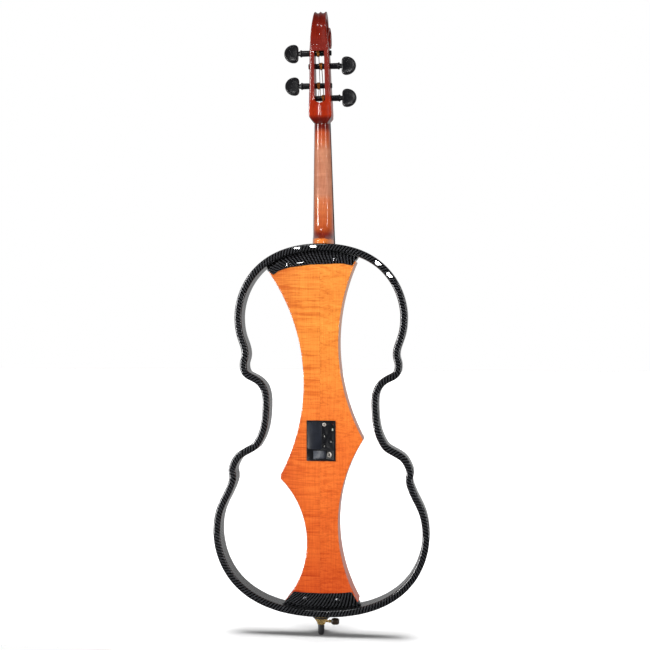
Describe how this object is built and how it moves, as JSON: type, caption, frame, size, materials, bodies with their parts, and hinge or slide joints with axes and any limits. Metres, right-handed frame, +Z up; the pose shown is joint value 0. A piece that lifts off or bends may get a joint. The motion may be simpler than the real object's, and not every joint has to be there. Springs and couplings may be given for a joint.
{
  "type": "electric cello",
  "caption": "Full-size electric cello with an open hoop-shaped frame, a slim zigzag sound box, a scroll neck, pegs, bridge, tailpiece, endpin and a built-in preamp.",
  "frame": {"origin": "the flat end of the endpin's rubber tip, on the endpin's axis", "axes": "+Z up along the endpin's axis to the scroll; -Y the way the strings face; +Y the back, with the preamp; the bass side is -X"},
  "size_m": [0.44, 0.1608, 1.268],
  "materials": {
    "carbon_twill": "clear-coated carbon fibre twill, high gloss",
    "flamed_maple": "flamed maple under glossy amber varnish",
    "top_wood": "spruce under glossy amber varnish",
    "plain_wood": "bare wood",
    "neck_wood": "maple under red-brown varnish, bare and satin along the handle",
    "ebony": "ebony, satin",
    "bridge_maple": "bare maple",
    "copper_winding": "string winding, copper coloured",
    "string_steel": "flat-wound steel",
    "black_metal": "black oxide",
    "cord_polymer": "braided polymer cord",
    "gilt_brass": "polished gilt brass",
    "rubber": "moulded rubber",
    "black_plastic": "moulded plastic, semi-matte",
    "nickel": "nickel plate",
    "battery_shell": "plain battery jacket",
    "circuit_green": "circuit board",
    "led_lens": "tinted lamp lens"
  },
  "bodies": {
    "cello_body": {"carbon_frame": "carbon_twill", "top_bracket": "carbon_twill", "bottom_bracket": "carbon_twill", "bracket_screw_top_left": "black_metal", "bracket_screw_top_right": "black_metal", "bracket_screw_bottom_left": "black_metal", "bracket_screw_bottom_right": "black_metal", "back_plate": "flamed_maple", "ribs": "flamed_maple", "top_plate": "top_wood", "neck_block": "plain_wood", "end_block": "plain_wood", "neck_and_scroll": "neck_wood", "fingerboard": "ebony", "nut": "ebony", "string_c": "string_steel", "string_g": "string_steel", "string_d": "string_steel", "string_a": "string_steel", "bridge": "bridge_maple", "tailpiece": "ebony", "tail_cord": "cord_polymer", "saddle": "ebony", "preamp_case": "black_plastic", "battery": "battery_shell", "circuit_board": "circuit_green", "power_led": "led_lens", "headphone_jack": "nickel", "output_jack": "nickel", "pickup": "nickel", "pickup_lead": "cord_polymer", "endpin_collar": "gilt_brass"},
    "peg_c_turning": {"peg_c": "ebony", "peg_winding_c": "copper_winding"},
    "peg_g_turning": {"peg_g": "ebony", "peg_winding_g": "copper_winding"},
    "peg_d_turning": {"peg_d": "ebony", "peg_winding_d": "copper_winding"},
    "peg_a_turning": {"peg_a": "ebony", "peg_winding_a": "copper_winding"},
    "tuner_screw_c_turning": {"tuner_screw_c": "black_metal"},
    "tuner_lever_c_rocking": {"tuner_lever_c": "black_metal"},
    "tuner_screw_g_turning": {"tuner_screw_g": "black_metal"},
    "tuner_lever_g_rocking": {"tuner_lever_g": "black_metal"},
    "tuner_screw_d_turning": {"tuner_screw_d": "black_metal"},
    "tuner_lever_d_rocking": {"tuner_lever_d": "black_metal"},
    "tuner_screw_a_turning": {"tuner_screw_a": "black_metal"},
    "tuner_lever_a_rocking": {"tuner_lever_a": "black_metal"},
    "volume_knob_turning": {"volume_knob": "black_plastic"},
    "bass_knob_turning": {"bass_knob": "black_plastic"},
    "treble_knob_turning": {"treble_knob": "black_plastic"},
    "power_switch_sliding": {"power_switch": "black_plastic"},
    "battery_door_swinging": {"battery_door": "black_plastic"},
    "endpin_sliding": {"endpin_rod": "black_metal", "endpin_tip": "rubber"},
    "endpin_thumbscrew_turning": {"endpin_thumbscrew": "gilt_brass"}
  },
  "joints": [
    {"name": "peg_c_turn", "type": "hinge", "parent": "cello_body", "child": "peg_c_turning", "pos_m": [0, 0.0053, 1.09], "axis": [-1, 0, 0], "continuous": true},
    {"name": "peg_g_turn", "type": "hinge", "parent": "cello_body", "child": "peg_g_turning", "pos_m": [0, 0.0178, 1.152], "axis": [-1, 0, 0], "continuous": true},
    {"name": "peg_d_turn", "type": "hinge", "parent": "cello_body", "child": "peg_d_turning", "pos_m": [0, 0.022, 1.1775], "axis": [1, 0, 0], "continuous": true},
    {"name": "peg_a_turn", "type": "hinge", "parent": "cello_body", "child": "peg_a_turning", "pos_m": [0, 0.0102, 1.1145], "axis": [1, 0, 0], "continuous": true},
    {"name": "tuner_screw_c_turn", "type": "hinge", "parent": "cello_body", "child": "tuner_screw_c_turning", "pos_m": [-0.0195, -0.07373, 0.24379], "axis": [0, 0.9912, 0.1323], "range_deg": [0, 1440]},
    {"name": "tuner_lever_c_rock", "type": "hinge", "parent": "cello_body", "child": "tuner_lever_c_rocking", "pos_m": [-0.0195, -0.07473, 0.26636], "axis": [1, 0, 0], "range_deg": [0, 6]},
    {"name": "tuner_screw_g_turn", "type": "hinge", "parent": "cello_body", "child": "tuner_screw_g_turning", "pos_m": [-0.0065, -0.07373, 0.24379], "axis": [0, 0.9912, 0.1323], "range_deg": [0, 1440]},
    {"name": "tuner_lever_g_rock", "type": "hinge", "parent": "cello_body", "child": "tuner_lever_g_rocking", "pos_m": [-0.0065, -0.07473, 0.26636], "axis": [1, 0, 0], "range_deg": [0, 6]},
    {"name": "tuner_screw_d_turn", "type": "hinge", "parent": "cello_body", "child": "tuner_screw_d_turning", "pos_m": [0.0065, -0.07373, 0.24379], "axis": [0, 0.9912, 0.1323], "range_deg": [0, 1440]},
    {"name": "tuner_lever_d_rock", "type": "hinge", "parent": "cello_body", "child": "tuner_lever_d_rocking", "pos_m": [0.0065, -0.07473, 0.26636], "axis": [1, 0, 0], "range_deg": [0, 6]},
    {"name": "tuner_screw_a_turn", "type": "hinge", "parent": "cello_body", "child": "tuner_screw_a_turning", "pos_m": [0.0195, -0.07373, 0.24379], "axis": [0, 0.9912, 0.1323], "range_deg": [0, 1440]},
    {"name": "tuner_lever_a_rock", "type": "hinge", "parent": "cello_body", "child": "tuner_lever_a_rocking", "pos_m": [0.0195, -0.07473, 0.26636], "axis": [1, 0, 0], "range_deg": [0, 6]},
    {"name": "volume_knob_turn", "type": "hinge", "parent": "cello_body", "child": "volume_knob_turning", "pos_m": [-0.0094, 0.0228, 0.408], "axis": [0, 1, 0], "range_deg": [-140, 140]},
    {"name": "bass_knob_turn", "type": "hinge", "parent": "cello_body", "child": "bass_knob_turning", "pos_m": [-0.0094, 0.0228, 0.388], "axis": [0, 1, 0], "range_deg": [-140, 140]},
    {"name": "treble_knob_turn", "type": "hinge", "parent": "cello_body", "child": "treble_knob_turning", "pos_m": [-0.0224, 0.0228, 0.3968], "axis": [0, 1, 0], "range_deg": [-140, 140]},
    {"name": "power_switch_slide", "type": "slide", "parent": "cello_body", "child": "power_switch_sliding", "axis": [0, 0, 1], "range_m": [0, 0.0045]},
    {"name": "battery_door_swing", "type": "hinge", "parent": "cello_body", "child": "battery_door_swinging", "pos_m": [0.02555, 0.02295, 0.4067], "axis": [0, 0, -1], "range_deg": [0, 100]},
    {"name": "endpin_slide", "type": "slide", "parent": "cello_body", "child": "endpin_sliding", "axis": [0, 0, -1], "range_m": [0, 0.25]},
    {"name": "endpin_thumbscrew_turn", "type": "hinge", "parent": "cello_body", "child": "endpin_thumbscrew_turning", "pos_m": [-0.02, 0, 0.0275], "axis": [-1, 0, 0], "range_deg": [0, 720]}
  ],
  "couplings": [
    {"joint": "tuner_lever_c_rock", "follows": "tuner_screw_c_turn", "ratio": 0.004},
    {"joint": "tuner_lever_g_rock", "follows": "tuner_screw_g_turn", "ratio": 0.004},
    {"joint": "tuner_lever_d_rock", "follows": "tuner_screw_d_turn", "ratio": 0.004},
    {"joint": "tuner_lever_a_rock", "follows": "tuner_screw_a_turn", "ratio": 0.004}
  ]
}
